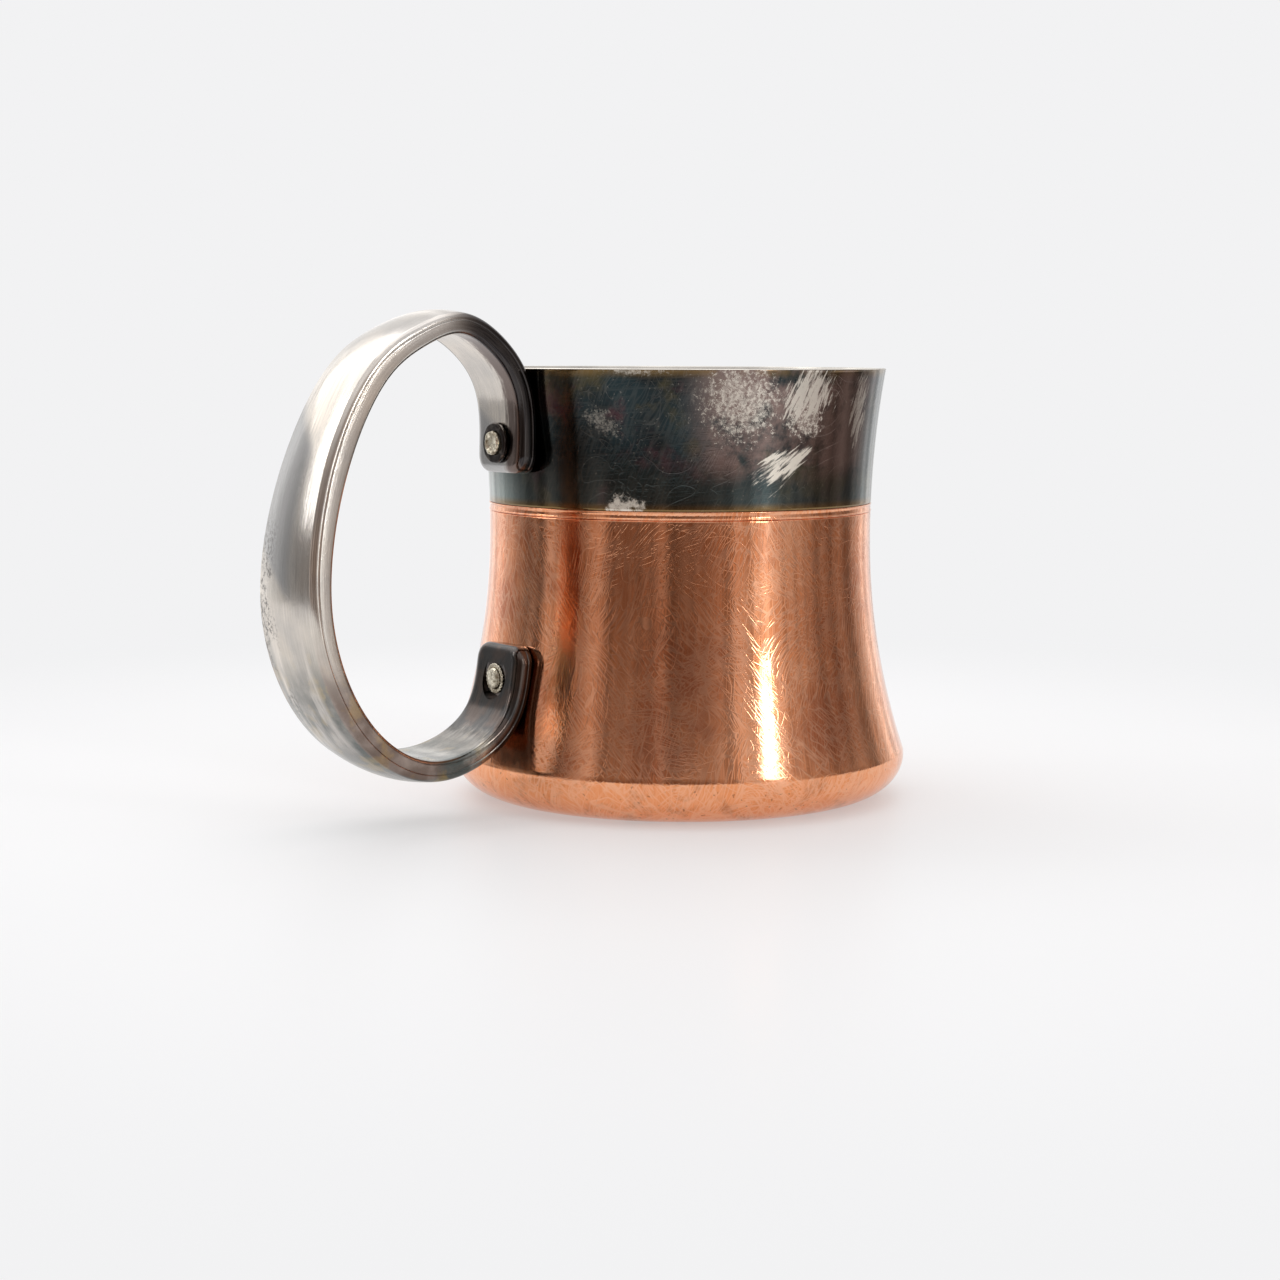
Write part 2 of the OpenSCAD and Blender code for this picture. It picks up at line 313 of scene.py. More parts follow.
@dataclass(frozen=True)
class SpunCopper:
    """Polished spun copper.

    Turned on a lathe, buffed by hand and wiped clean for years. It gives the eye a warm mirror
    broken up by dense curved hairlines, painted pale as bright cut metal and painted glints,
    each zone rubbed its own way, under cloudy brown handling stains, with a browner foot.
    """

    fresh: str = "#F0A477"
    warm: str = "#E08D5E"
    stain: str = "#A4573A"
    foot: str = "#F6A069"
    foot_stain: str = "#A8643C"
    speck: str = "#4F2C20"
    hairline_cut_and_glint: str = "#FFD2B4"
    gloss: float = 0.065

    def build(self) -> bpy.types.Material:
        """Build the copper material.

        Returns:
            The finished material.
        """
        p = Patina("polished spun copper")
        flat = p.unrolled(40.0)
        swept = p.bent(flat, 16.0, 3.5)
        swirled = p.bent(flat, 9.0, 4.0)
        # Buffing lines are 0.02 to 0.05 mm wide; drawn about 0.15 mm wide so that they show.
        rising = p.hairlines(swept, 62.0, 0.9, 12.0, 0.10, 1.0)
        falling = p.hairlines(swept, -47.0, 0.8, 10.0, 0.10, 5.0)
        curled = p.hairlines(swirled, 14.0, 0.8, 8.0, 0.11, 9.0)
        upright = p.hairlines(flat, 87.0, 0.6, 22.0, 0.09, 13.0)
        deep = p.hairlines(swept, 74.0, 3.4, 30.0, 0.022, 17.0)
        cross = p.hairlines(swept, -22.0, 4.5, 26.0, 0.018, 19.0)
        zone = p.blotches(15.0, 0.44, 0.56, 3.0, detail=1.0)
        patch = p.blotches(11.0, 0.45, 0.60, 8.0, detail=1.0)
        lines = p.most(p.times(rising, zone), p.times(falling, p.less(zone)), p.times(curled, patch))
        lines = p.most(lines, p.times(upright, 0.45), deep, cross)
        hues = p.blotches(30.0, 0.35, 0.65, 31.0, detail=2.0)
        clouds = p.blotches(15.0, 0.44, 0.70, 21.0, detail=6.0, roughness=0.6)
        brown = p.blotches(5.0, 0.50, 0.74, 25.0, detail=5.0, roughness=0.65)
        specks = p.blotches(0.8, 0.70, 0.76, 41.0, detail=1.0)
        low = p.between(p.z, 10.5 * MM, 7.5 * MM)
        colour = p.blend(hues, self.fresh, self.warm)
        colour = p.blend(p.times(clouds, 0.62), colour, self.stain)
        colour = p.blend(p.times(low, 0.7), colour, self.foot)
        colour = p.blend(p.times(brown, low, 0.6), colour, self.foot_stain)
        # Hairlines are painted near-white: partly the bright metal each scratch cuts, partly a painted
        # glint.
        colour = p.blend(p.times(lines, 0.36), colour, self.hairline_cut_and_glint)
        colour = p.blend(p.times(specks, p.most(low, 0.3), 0.45), colour, self.speck)
        dull = p.plus(p.times(clouds, 0.06), p.times(low, 0.06))
        rough = p.plus(dull, p.times(patch, 0.03), self.gloss)
        waves = p.field((26.0, 26.0, 60.0), 51.0, 2.0)
        normal = p.relief([(waves, 0.10), (lines, 0.007)])
        return p.metal(colour, rough, normal)


@dataclass(frozen=True)
class TurnedCopper:
    """Copper disc faced on the lathe and left unbuffed.

    It gives the eye a dull warm glow with fine turning rings and brown handling clouds.
    """

    fresh: str = "#E39A70"
    cloud: str = "#A4623F"
    groove: str = "#8A4F35"

    def build(self) -> bpy.types.Material:
        """Build the faced copper material.

        Returns:
            The finished material.
        """
        p = Patina("faced copper")
        face = p.ringed(22.0)
        # Turning marks are 0.05 to 0.1 mm apart; drawn about 0.5 mm apart so that they show.
        rings = p.hairlines(face, 0.0, 0.5, 60.0, 0.14, 4.0)
        clouds = p.blotches(9.0, 0.42, 0.66, 6.0, detail=5.0)
        colour = p.blend(p.times(clouds, 0.7), self.fresh, self.cloud)
        colour = p.blend(p.times(rings, 0.4), colour, self.groove)
        rough = p.plus(p.times(clouds, 0.08), 0.2)
        return p.metal(colour, rough, p.relief([(rings, 0.004)]))


class Rub(Enum):
    """How a patch of tarnish was worn away; the value is how far the grain breaks its edge up."""

    SPECKLED = 5.2
    RAGGED = 2.6
    BRUSHED = 4.2
    FEATHERED = 3.4


@dataclass(frozen=True)
class WornPatch:
    """One place where tarnish has been rubbed off the band.

    Angles are in degrees round the axis from the handle, heights in millimetres above the
    table. Lean is how many millimetres the patch rises for each degree.
    """

    angle: float
    height: float
    half_angle: float
    half_height: float
    lean: float
    rub: Rub
    strength: float


@dataclass(frozen=True)
class TarnishedSilver:
    """Silver plate on brass, heavily tarnished.

    Sulphide film over bright plate. It gives the eye a near-black gloss clouded with teal,
    olive, wine and plum, a golden line where the joint was heated, and ragged patches rubbed
    back to pale silver.
    """

    black: str = "#222526"
    teal: str = "#2B373A"
    olive: str = "#4E4733"
    wine: str = "#4C3337"
    thin: str = "#7B8582"
    plum: str = "#84706A"
    gold: str = "#80653C"
    scratch: str = "#A39C92"
    bright: str = "#EDE5D8"
    patches: tuple[WornPatch, ...] = (
        WornPatch(70.0, 77.5, 14.5, 9.0, 0.0, Rub.SPECKLED, 0.72),
        WornPatch(91.5, 79.0, 11.0, 7.0, 0.10, Rub.BRUSHED, 0.75),
        WornPatch(90.0, 74.5, 8.0, 4.5, 0.0, Rub.SPECKLED, 0.8),
        WornPatch(82.5, 65.6, 11.5, 4.4, 0.26, Rub.FEATHERED, 0.95),
        WornPatch(38.2, 57.3, 8.2, 5.4, 0.0, Rub.RAGGED, 0.95),
        WornPatch(32.0, 74.0, 7.0, 3.0, -0.25, Rub.SPECKLED, 0.22),
        WornPatch(41.0, 83.4, 12.0, 1.2, 0.0, Rub.SPECKLED, 0.5),
        WornPatch(113.0, 76.0, 5.5, 9.0, 0.0, Rub.BRUSHED, 0.45),
        WornPatch(205.0, 76.0, 15.0, 7.0, 0.12, Rub.RAGGED, 0.75),
        WornPatch(232.0, 63.5, 10.0, 3.0, -0.25, Rub.FEATHERED, 0.9),
        WornPatch(292.0, 69.0, 12.0, 6.0, -0.15, Rub.BRUSHED, 0.8),
    )

    def mask(self, p: Patina, patch: WornPatch, degrees: object, grain: object) -> object:
        """Return how much of one patch shows at each place.

        Args:
            p: the material being built.
            patch: the patch's place and shape.
            degrees: socket with the angle from the handle.
            grain: socket with the noise that breaks it up.

        Returns:
            Mask socket.
        """
        across = p.plus(degrees, -patch.angle)
        up = p.plus(p.times(p.z, 1 / MM), -patch.height)
        slid = p.plus(up, p.times(across, -patch.lean))
        u = p.times(across, 1 / patch.half_angle)
        v = p.times(slid, 1 / patch.half_height)
        reach = p.less(p.plus(p.times(u, u), p.times(v, v)))
        edge = p.plus(reach, p.times(p.plus(grain, -0.5), patch.rub.value))
        return p.times(p.between(edge, 0.45, 0.95), patch.strength)

    def worn(self, p: Patina, degrees: object, stroked: object) -> bpy.types.NodeSocket:
        """Gather all the worn patches into one mask.

        Args:
            p: the material being built.
            degrees: socket with the angle from the handle.
            stroked: flat coordinate bent like hand strokes.

        Returns:
            Mask of the plate rubbed bare.
        """
        grains = {
            Rub.SPECKLED: p.field((1.2, 1.2, 1.2), 7.0, 6.0, 0.85),
            Rub.RAGGED: p.field((2.0, 2.0, 2.0), 10.0, 6.0, 0.75),
            Rub.BRUSHED: p.field((5.0, 0.7, 1.0), 9.0, 4.0, 0.72, stroked, 68.0),
            Rub.FEATHERED: p.field((7.0, 0.8, 1.0), 11.0, 4.0, 0.62, stroked, 36.0),
        }
        salt = p.blotches(0.55, 0.42, 0.58, 13.0, detail=3.0, roughness=0.7)
        thinned = p.plus(p.times(salt, 0.62), 0.38)
        masks = {rub: p.most(*(self.mask(p, patch, degrees, grains[rub]) for patch in self.patches
                               if patch.rub is rub)) for rub in Rub}
        masks[Rub.SPECKLED] = p.times(masks[Rub.SPECKLED], thinned)
        return p.most(*masks.values())

    def film(self, p: Patina, degrees: object) -> bpy.types.NodeSocket:
        """Cloud the black film with its colours, paler near the joint and golden at both edges.

        Args:
            p: the material being built.
            degrees: socket with the angle from the handle.

        Returns:
            The film's colour.
        """
        cool = p.blotches(20.0, 0.42, 0.62, 15.0, detail=5.0)
        warm = p.blotches(12.0, 0.50, 0.66, 19.0, detail=6.0, roughness=0.62)
        wine = p.blotches(9.0, 0.52, 0.70, 23.0, detail=6.0, roughness=0.65)
        plum = p.blotches(11.0, 0.36, 0.56, 27.0, detail=6.0, roughness=0.65)
        colour = p.blend(cool, self.black, self.teal)
        colour = p.blend(p.times(warm, 0.85), colour, self.olive)
        colour = p.blend(p.times(wine, 0.8), colour, self.wine)
        near_joint = p.between(p.z, 70 * MM, 58 * MM)
        aside = p.times(p.bearing(), 180 / math.pi)
        sheltered = p.times(p.between(aside, 14.0, -12.0), p.between(aside, -75.0, -50.0), 0.65)
        sheltered = p.plus(sheltered, 0.25)
        colour = p.blend(p.times(near_joint, sheltered), colour, self.thin)
        rubbed_side = p.times(p.between(degrees, 52.0, 68.0), p.between(degrees, 125.0, 108.0))
        high = p.between(p.z, 61 * MM, 67 * MM)
        colour = p.blend(p.times(plum, rubbed_side, high), colour, self.plum)
        joint = p.between(p.z, 59.4 * MM, 57.8 * MM)
        rim = p.between(p.z, 81.6 * MM, 83.3 * MM)
        heat = p.blotches(6.0, 0.3, 0.6, 33.0, detail=5.0)
        stain = p.most(p.times(joint, 0.85), p.times(rim, heat, 0.6))
        return p.blend(stain, colour, self.gold)

    def build(self) -> bpy.types.Material:
        """Build the tarnished silver material.

        Returns:
            The finished material.
        """
        p = Patina("tarnished silver plate on brass")
        flat = p.unrolled(38.0)
        stroked = p.bent(flat, 7.0, 0.8)
        degrees = p.times(p.turn(), 180 / math.pi)
        worn = self.worn(p, degrees, stroked)
        colour = self.film(p, degrees)
        hazy = p.hairlines(stroked, 66.0, 0.7, 9.0, 0.09, 3.0)
        rounds = p.hairlines(flat, 4.0, 0.9, 16.0, 0.06, 6.0)
        long = p.hairlines(p.bent(flat, 18.0, 5.0), 28.0, 6.0, 22.0, 0.014, 8.0)
        lines = p.most(p.times(hazy, 0.5), p.times(rounds, 0.4), long)
        colour = p.blend(p.times(lines, 0.12), colour, self.scratch)
        flecks = p.blotches(0.5, 0.66, 0.74, 12.0, detail=2.0)
        colour = p.blend(p.times(flecks, 0.35), colour, self.scratch)
        colour = p.blend(worn, colour, self.bright)
        rough = p.plus(p.times(worn, 0.26), 0.11)
        waves = p.field((24.0, 24.0, 50.0), 29.0, 2.0)
        skin = p.field((0.9, 0.9, 0.9), 35.0, 3.0)
        normal = p.relief([(waves, 0.08), (skin, 0.006), (lines, 0.004), (worn, 0.006)])
        return p.metal(colour, rough, normal)


@dataclass(frozen=True)
class CupLining:
    """Silver plate inside the cup, dulled by washing to an even pale grey with faint rings."""

    pale: str = "#D6D0C6"
    grey: str = "#8F8C88"

    def build(self) -> bpy.types.Material:
        """Build the lining material.

        Returns:
            The finished material.
        """
        p = Patina("washed silver plate lining")
        clouds = p.blotches(18.0, 0.38, 0.66, 4.0, detail=5.0)
        rings = p.hairlines(p.ringed(30.0), 0.0, 0.7, 40.0, 0.10, 6.0)
        # Painted shade: the grey deepens steadily further down the cup, where its walls shade it.
        deep = p.between(p.z, 60 * MM, 12 * MM)
        share = p.plus(p.times(clouds, 0.55), p.times(deep, 0.35))
        colour = p.blend(share, self.pale, self.grey)
        rough = p.plus(p.times(clouds, 0.1), 0.24)
        return p.metal(colour, rough, p.relief([(rings, 0.003)]))


@dataclass(frozen=True)
class BrushedSilver:
    """Silver plate on a forged strap.

    Filed and brushed lengthwise, then polished by hands. It gives the eye warm pale silver
    with grey-blue depth, a slanting grey band of painted reflection, maroon and black tarnish
    in the sheltered ends, gold-green film low on the sides, a thin copper-pink edge and
    pitting low on the grip.
    """

    pale: str = "#E9DFD3"
    grey: str = "#9C9EA1"
    maroon: str = "#54403B"
    black: str = "#26272A"
    brown: str = "#41342F"
    film: str = "#4A5250"
    gold: str = "#8C7B4E"
    pit: str = "#5E5953"
    pink: str = "#B98872"
    line: str = "#8C8680"

    def plate(self, p: Patina, strap: object, depth: object) -> bpy.types.NodeSocket:
        """Give the plate its grey-blue depth, lengthwise streaks and one slanting grey zone.

        Args:
            p: the material being built.
            strap: flat coordinate along the strap.
            depth: mask of the greyer clouds.

        Returns:
            The plate's colour.
        """
        streak = p.between(p.field((1.3, 24.0, 1.0), 12.0, 3.0, 0.6, strap), 0.42, 0.66)
        # Painted reflection: a slanting grey band stands for the dark tent mirrored in the outer face,
        # fading out towards the near edge.
        slanted = p.plus(p.z, p.times(p.y, 0.7))
        painted_reflection = p.times(p.between(slanted, 42 * MM, 47 * MM), p.between(slanted, 75 * MM, 70 * MM),
                         p.between(p.y, 7 * MM, 1 * MM), 0.8)
        return p.blend(p.most(p.times(depth, 0.5), p.times(streak, 0.3), painted_reflection),
                       self.pale, self.grey)

    def upper_end(self, p: Patina, colour: object, torn: object) -> bpy.types.NodeSocket:
        """Darken the far side and the edges of the sheltered upper end.

        Args:
            p: the material being built.
            colour: colour so far.
            torn: socket that makes the borders ragged, in metres.

        Returns:
            The new colour.
        """
        near = p.plus(p.y, torn)
        high = p.times(p.between(p.x, 60 * MM, 50 * MM), p.between(p.z, 50 * MM, 58 * MM))
        colour = p.blend(p.times(high, p.between(near, 2.2 * MM, 4.2 * MM), 0.9), colour, self.maroon)
        edges = p.between(p.unsigned(p.y), 6.5 * MM, 7.1 * MM)
        return p.blend(p.times(high, edges, 0.9), colour, self.black)

    def underside(self, p: Patina, strap: object, colour: object, low: object) -> bpy.types.NodeSocket:
        """Lay gold-green film on the strap's low sides and underneath it.

        Args:
            p: the material being built.
            strap: flat coordinate along the strap.
            colour: colour so far.
            low: mask of the lower end, which the film leaves alone.

        Returns:
            The new colour.
        """
        side = p.between(p.unsigned(p.y), 5.0 * MM, 7.6 * MM)
        under = p.times(p.between(p.z, 42 * MM, 20 * MM), side)
        film = p.blotches(6.0, 0.34, 0.60, 18.0, detail=5.0)
        streaky = p.between(p.field((4.0, 16.0, 1.0), 34.0, 4.0, 0.6, strap), 0.38, 0.60)
        lowest = p.between(p.z, 20 * MM, 12 * MM)
        beneath = p.times(p.between(p.z, 40 * MM, 20 * MM), p.most(streaky, lowest), 0.85)
        tint = p.blotches(5.0, 0.52, 0.64, 20.0, detail=4.0)
        film_colour = p.blend(p.times(tint, 0.8), self.film, self.gold)
        share = p.times(p.most(under, beneath), p.less(low), p.plus(p.times(film, 0.35), 0.62))
        return p.blend(share, colour, film_colour)

    def pitted(self, p: Patina) -> bpy.types.NodeSocket:
        """Return the mask of the small pits low on the grip.

        Args:
            p: the material being built.

        Returns:
            Mask socket.
        """
        grain = p.blotches(0.9, 0.50, 0.58, 22.0, detail=4.0, roughness=0.7)
        zone = p.blotches(9.0, 0.42, 0.54, 26.0, detail=3.0)
        place = p.times(p.between(p.x, 74 * MM, 80 * MM), p.between(p.z, 14 * MM, 24 * MM),
                        p.between(p.z, 60 * MM, 48 * MM), p.between(p.y, -1 * MM, -5 * MM))
        return p.times(grain, zone, place)

    def build(self) -> bpy.types.Material:
        """Build the strap material.

        Returns:
            The finished material.
        """
        p = Patina("brushed silver plate on forged brass")
        strap = add(p.tree, "UVMap", uv_map="strap").outputs[0]
        # Brushing lines are finer than 0.05 mm; drawn about 0.12 mm wide so that they show.
        brush = p.hairlines(p.bent(strap, 20.0, 0.4), 90.0, 0.55, 16.0, 0.10, 2.0)
        fine = p.hairlines(strap, 90.0, 0.3, 9.0, 0.12, 4.0)
        stray = p.hairlines(p.bent(strap, 12.0, 2.0), 62.0, 3.0, 12.0, 0.02, 6.0)
        depth = p.blotches(24.0, 0.40, 0.66, 10.0, detail=5.0)
        torn = p.times(p.plus(p.field((3.0, 1.2, 5.0), 14.0, 5.0, 0.65), -0.5), 5 * MM)
        colour = self.upper_end(p, self.plate(p, strap, depth), torn)
        worn_x = p.plus(p.x, p.times(torn, 1.3))
        low = p.times(p.between(worn_x, 54 * MM, 47 * MM), p.between(p.z, 46 * MM, 40 * MM))
        dark = p.blend(p.blotches(4.0, 0.42, 0.6, 16.0, detail=4.0), self.black, self.brown)
        colour = p.blend(p.times(low, 0.96), colour, dark)
        colour = self.underside(p, strap, colour, low)
        pits = self.pitted(p)
        colour = p.blend(p.times(pits, 0.85), colour, self.pit)
        edge = p.between(p.unsigned(p.y), 9.0 * MM, 9.6 * MM)
        edge = p.times(edge, p.between(p.z, 40 * MM, 22 * MM), 0.25)
        colour = p.blend(edge, colour, self.pink)
        colour = p.blend(p.times(p.most(brush, fine), 0.14), colour, self.line)
        rough = p.plus(p.times(depth, 0.07), 0.13)
        rough = p.plus(rough, p.times(p.less(low), brush, 0.06))
        waves = p.field((14.0, 14.0, 14.0), 30.0, 2.0)
        forged = p.field((3.5, 3.5, 3.5), 32.0, 2.0)
        normal = p.relief([(waves, 0.06), (forged, 0.012), (p.most(brush, p.times(fine, 0.5)), 0.003),
                           (stray, 0.003), (p.less(pits), 0.03)])
        return p.metal(colour, rough, normal)


@dataclass(frozen=True)
class PeenedBrass:
    """Brass rivet wire, filed and hammered over: pale champagne with brown hammered hollows."""

    pale: str = "#E4DCC8"
    dark: str = "#6B5C44"

    def build(self) -> bpy.types.Material:
        """Build the rivet material.

        Returns:
            The finished material.
        """
        p = Patina("peened rivet brass")
        dents = p.blotches(0.7, 0.42, 0.60, 1.0, detail=3.0)
        film = p.blotches(2.2, 0.40, 0.64, 5.0)
        share = p.plus(p.times(dents, 0.4), p.times(film, 0.45))
        colour = p.blend(share, self.pale, self.dark)
        rough = p.plus(p.times(film, 0.15), 0.2)
        return p.metal(colour, rough, p.relief([(p.less(dents), 0.05)]))


@dataclass(frozen=True)
class BlackenedSilver:
    """Silver-plated washer in a corner no cloth reaches: brown-black, softly glossy."""

    dark: str = "#302B29"
    rubbed: str = "#8A8078"

    def build(self) -> bpy.types.Material:
        """Build the washer material.

        Returns:
            The finished material.
        """
        p = Patina("blackened silver washer")
        rub = p.blotches(2.0, 0.5, 0.72, 2.0)
        colour = p.blend(p.times(rub, 0.6), self.dark, self.rubbed)
        rough = p.plus(p.times(rub, 0.12), 0.2)
        return p.metal(colour, rough, p.relief([(p.field((0.6, 0.6, 0.6), 9.0), 0.02)]))


@dataclass(frozen=True)
class DullSolder:
    """Lead-free soft solder, flowed and wiped: dull light grey with a grainy skin."""

    light: str = "#A5A4A0"
    dark: str = "#77756F"

    def build(self) -> bpy.types.Material:
        """Build the solder material.

        Returns:
            The finished material.
        """
        p = Patina("wiped soft solder")
        skin = p.blotches(1.5, 0.35, 0.65, 3.0)
        colour = p.blend(skin, self.light, self.dark)
        rough = p.plus(p.times(skin, 0.15), 0.42)
        return p.metal(colour, rough, p.relief([(skin, 0.02)]))


class Finish(Enum):
    """Finishes of the mug's pieces."""

    COPPER = SpunCopper()
    FACED_COPPER = TurnedCopper()
    BAND = TarnishedSilver()
    LINING = CupLining()
    STRAP = BrushedSilver()
    BRASS = PeenedBrass()
    WASHER = BlackenedSilver()
    SOLDER = DullSolder()


class Finishes:
    """Builds each finish once and hands it out."""

    def __init__(self) -> None:
        """Start with no finish built."""
        self.built: dict[Finish, bpy.types.Material] = {}

    def get(self, finish: Finish) -> bpy.types.Material:
        """Return a finish's material, building it the first time.

        Args:
            finish: the finish wanted.

        Returns:
            Its material.
        """
        if finish not in self.built:
            self.built[finish] = finish.value.build()
        return self.built[finish]


# ---------------------------------------------------------------- mesh makers


def new_piece(
    name: str, points: Sequence[Sequence[float]], faces: Sequence[Sequence[int]],
    materials: Sequence[bpy.types.Material],
) -> bpy.types.Object:
    """Make a smooth-shaded mesh object.

    Args:
        name: the piece's name.
        points: vertex positions in metres.
        faces: vertex indices of each face.
        materials: materials in slot order.

    Returns:
        The linked object.
    """
    mesh = bpy.data.meshes.new(name)
    mesh.from_pydata([tuple(p) for p in points], [], [tuple(f) for f in faces])
    mesh.polygons.foreach_set("use_smooth", [True] * len(mesh.polygons))
    for material in materials:
        mesh.materials.append(material)
    mesh.update()
    piece = bpy.data.objects.new(name, mesh)
    bpy.context.scene.collection.objects.link(piece)
    return piece


def lathe(
    name: str, outline: Sequence[Point], materials: Sequence[bpy.types.Material],
    segments: int = 360,
) -> bpy.types.Object:
    """Turn a closed outline round the Z axis.

    Args:
        name: the piece's name.
        outline: radius and height of each outline point in millimetres, in order round it.
        materials: materials in slot order.
        segments: number of steps round the axis.

    Returns:
        The turned piece.
    """
    points: list[tuple[float, float, float]] = []
    rings: list[list[int]] = []
    for radius, height in outline:
        if radius < ON_AXIS:
            points.append((0.0, 0.0, height * MM))
            rings.append([len(points) - 1] * segments)
            continue
        start = len(points)
        for k in range(segments):
            turn = 2 * math.pi * k / segments
            points.append((radius * MM * math.cos(turn), radius * MM * math.sin(turn), height * MM))
        rings.append(list(range(start, start + segments)))
    faces = []
    for ring, nxt in zip(rings, rings[1:] + rings[:1]):
        for k in range(segments):
            corners = [ring[k], ring[(k + 1) % segments], nxt[(k + 1) % segments], nxt[k]]
            kept = list(dict.fromkeys(corners))
            if len(kept) >= 3:
                faces.append(kept)
    return new_piece(name, points, faces, materials)


def arc(centre: Point, radius: float, start: float, end: float, steps: int) -> list[Point]:
    """Return points along a circular arc between two angles in degrees."""
    turns = [math.radians(start + (end - start) * i / steps) for i in range(steps + 1)]
    return [(centre[0] + radius * math.cos(t), centre[1] + radius * math.sin(t)) for t in turns]


def laid_along_x(piece: bpy.types.Object, height: float) -> bpy.types.Object:
    """Lay a turned piece along the handle's direction at a height.

    Args:
        piece: piece turned round Z, its Z being distance from the mug's axis.
        height: height of its new axis in metres.

    Returns:
        The same piece, its mesh moved.
    """
    turn = Matrix(((0, 0, 1, 0), (0, 1, 0, 0), (-1, 0, 0, 0), (0, 0, 0, 1)))
    piece.data.transform(Matrix.Translation((0, 0, height)) @ turn)
    piece.data.update()
    return piece


def smooth_step(value: float) -> float:
    """Ease a value from 0 to 1."""
    clamped = min(max(value, 0.0), 1.0)
    return clamped * clamped * (3 - 2 * clamped)


def dress(node: str, material: bpy.types.Material) -> bpy.types.Object:
    """Give a CAD node that is shown as it is its metal.

    Args:
        node: the node's name.
        material: its material.

    Returns:
        The node's object.
    """
    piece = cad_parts[node]
    piece.data.materials.clear()
    piece.data.materials.append(material)
    return piece


# ---------------------------------------------------------------- the mug's shape


@dataclass(frozen=True)
class Wall:
    """The body's outer wall: two long arcs that meet at the waist, in millimetres."""

    waist_radius: float = 37.3
    waist_height: float = 52.0
    skirt_sweep: float = 134.0
    mouth_sweep: float = 187.0

    def radius(self, height: float) -> float:
        """Return the wall's outside radius at a height.

        Args:
            height: height above the table in millimetres.

        Returns:
            Radius in millimetres.
        """
        sweep = self.skirt_sweep if height < self.waist_height else self.mouth_sweep
        drop = abs(height - self.waist_height)
        return self.waist_radius + sweep - math.sqrt(sweep * sweep - drop * drop)

    def run(self, start: float, end: float, inset: float, steps: int) -> list[Point]:
        """Return wall points from one height to another, as radius and height in millimetres."""
        levels = [start + (end - start) * i / steps for i in range(steps + 1)]
        return [(self.radius(z) - inset, z) for z in levels]


